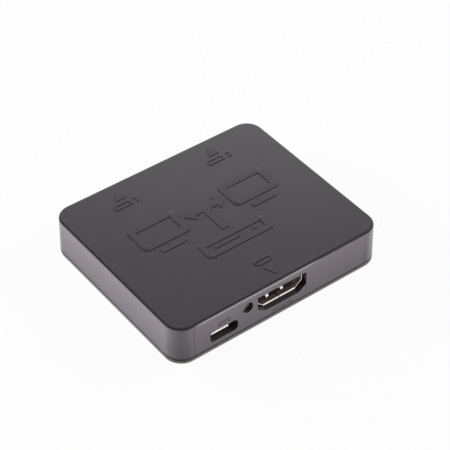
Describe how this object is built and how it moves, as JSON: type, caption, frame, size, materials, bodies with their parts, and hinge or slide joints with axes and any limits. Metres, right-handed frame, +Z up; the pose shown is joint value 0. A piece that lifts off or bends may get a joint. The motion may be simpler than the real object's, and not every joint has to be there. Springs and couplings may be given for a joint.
{
  "type": "hdmi splitter",
  "caption": "Flat black plastic box with rounded corners that copies one digital video input to two outputs, powered through a small side socket.",
  "frame": {"origin": "middle of the flat underside", "axes": "+X along the width with the input face towards the viewer, -Y out of the input face, +Y out of the output face, +Z up"},
  "size_m": [0.065, 0.055, 0.012],
  "materials": {
    "case_plastic": "satin moulded black plastic, finely spark-eroded on the sides",
    "screw_steel": "black zinc",
    "board_laminate": "black solder mask",
    "socket_nickel": "nickel-plated stamped sheet",
    "socket_plastic": "black moulded insulator",
    "contact_gold": "thin gold over nickel",
    "lens_resin": "frosted clear resin, unlit",
    "lead_tin": "tinned",
    "chip_resin": "moulded epoxy",
    "can_aluminium": "drawn can",
    "fuse_body": "green coated body",
    "resistor_body": "black overglaze",
    "ceramic_body": "fired ceramic"
  },
  "bodies": {
    "root": {"top_shell": "case_plastic", "base_cover": "case_plastic", "case_screws": "screw_steel", "circuit_board": "board_laminate", "power_shell": "socket_nickel", "power_block": "socket_plastic", "power_contacts_set": "contact_gold", "light_lens": "lens_resin", "light_leads": "lead_tin", "splitter_chip": "chip_resin", "splitter_chip_leads": "lead_tin", "memory_chip": "chip_resin", "memory_chip_leads": "lead_tin", "regulator_1": "chip_resin", "regulator_1_leads": "lead_tin", "regulator_2": "chip_resin", "regulator_2_leads": "lead_tin", "bulk_capacitor_cans": "can_aluminium", "bulk_capacitor_bases": "socket_plastic", "bulk_capacitor_leads": "lead_tin", "resettable_fuse": "fuse_body", "resettable_fuse_ends": "lead_tin", "crystal_can": "can_aluminium", "crystal_carrier": "socket_plastic", "crystal_leads": "lead_tin", "chip_resistors": "resistor_body", "chip_resistor_ends": "lead_tin", "ceramic_capacitors": "ceramic_body", "ceramic_capacitor_ends": "lead_tin", "video_in_shell": "socket_nickel", "video_in_block": "socket_plastic", "video_in_contacts": "contact_gold", "video_out_1_shell": "socket_nickel", "video_out_1_block": "socket_plastic", "video_out_1_contacts": "contact_gold", "video_out_2_shell": "socket_nickel", "video_out_2_block": "socket_plastic", "video_out_2_contacts": "contact_gold"}
  },
  "joints": []
}
